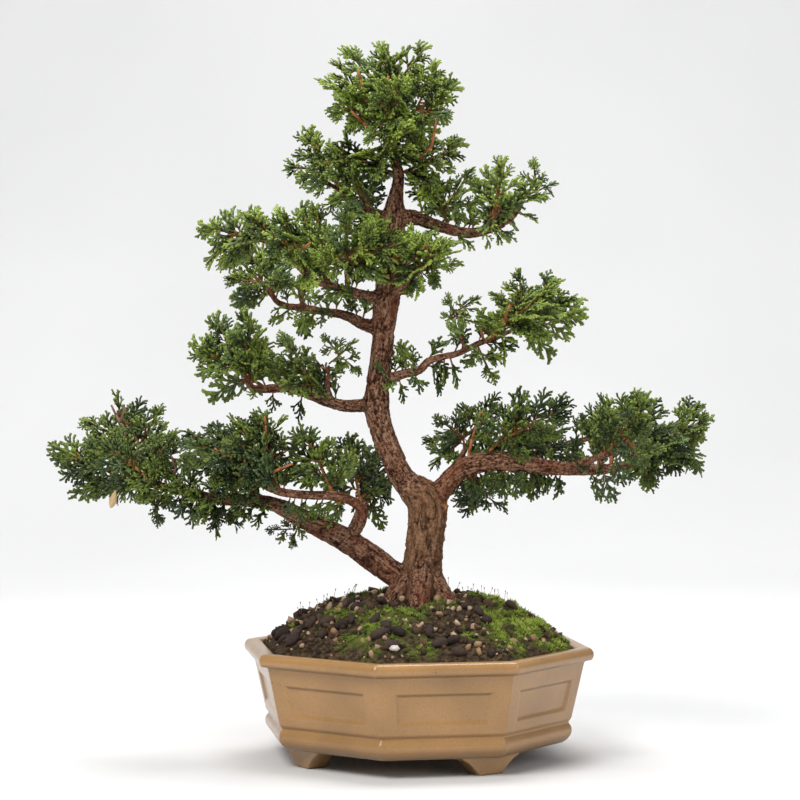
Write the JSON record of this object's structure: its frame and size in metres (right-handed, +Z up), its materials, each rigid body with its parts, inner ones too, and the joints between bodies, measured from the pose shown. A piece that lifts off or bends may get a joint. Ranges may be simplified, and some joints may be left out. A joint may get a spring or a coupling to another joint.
{
  "type": "bonsai tree",
  "caption": "Informal upright hinoki cypress bonsai with tiered pads of flat scale-leaf sprays, in a glazed octagonal pot with recessed panels and bracket feet.",
  "frame": {"origin": "centre of the part's bounding box in plan, on the table under the feet", "axes": "+Z up along the trunk, +X to the right as seen from the front, where the longest low branch reaches to the left, and +Y away from the viewer"},
  "size_m": [0.3356, 0.1762, 0.361],
  "materials": {
    "glaze": "mustard tan gloss glaze, finely speckled, thinner at the edges",
    "bark": "fibrous, flaky reddish brown bark with deep upright fissures",
    "loam": "dark crumbly bonsai soil with moss, grit and fertiliser pellets",
    "leaf": "soft matt scale leaves, bright green at the tips and deep green within",
    "plastic": "matt black plastic mesh"
  },
  "bodies": {
    "root": {"pot": "glaze", "drain_screen_1": "plastic", "drain_screen_2": "plastic", "soil": "loam", "wood": "bark", "foliage_apex_top": "leaf", "foliage_apex_left": "leaf", "foliage_apex_right": "leaf", "foliage_apex_front": "leaf", "foliage_apex_back": "leaf", "foliage_apex_low_right": "leaf", "foliage_apex_low_left": "leaf", "foliage_crown_left_tip": "leaf", "foliage_crown_left_mid": "leaf", "foliage_crown_right_tip": "leaf", "foliage_crown_right_front": "leaf", "foliage_crown_right_back": "leaf", "foliage_crown_right_mid": "leaf", "foliage_high_left_tip": "leaf", "foliage_high_left_top": "leaf", "foliage_high_left_end": "leaf", "foliage_high_left_mid": "leaf", "foliage_high_trunk": "leaf", "foliage_high_back": "leaf", "foliage_high_back_end": "leaf", "foliage_high_right_front": "leaf", "foliage_high_right_back": "leaf", "foliage_mid_left_tip": "leaf", "foliage_mid_left_top": "leaf", "foliage_mid_left_mid": "leaf", "foliage_mid_left_back": "leaf", "foliage_mid_left_open": "leaf", "foliage_mid_right_tip": "leaf", "foliage_mid_right_end": "leaf", "foliage_mid_right_back": "leaf", "foliage_mid_right_in": "leaf", "foliage_mid_right_low": "leaf", "foliage_mid_right_bud": "leaf", "foliage_right_in": "leaf", "foliage_right_under": "leaf", "foliage_right_mid": "leaf", "foliage_right_mid_back": "leaf", "foliage_right_end": "leaf", "foliage_right_end_back": "leaf", "foliage_right_far_front": "leaf", "foliage_right_far": "leaf", "foliage_right_tip": "leaf", "foliage_left_tip": "leaf", "foliage_left_tip_front": "leaf", "foliage_left_end": "leaf", "foliage_left_end_front": "leaf", "foliage_left_end_low": "leaf", "foliage_left_mid_back": "leaf", "foliage_left_front_mid": "leaf", "foliage_left_front": "leaf", "foliage_left_mid_low": "leaf", "foliage_left_in": "leaf", "foliage_left_back": "leaf", "foliage_left_back_mid": "leaf", "foliage_left_in_low": "leaf"}
  },
  "joints": []
}
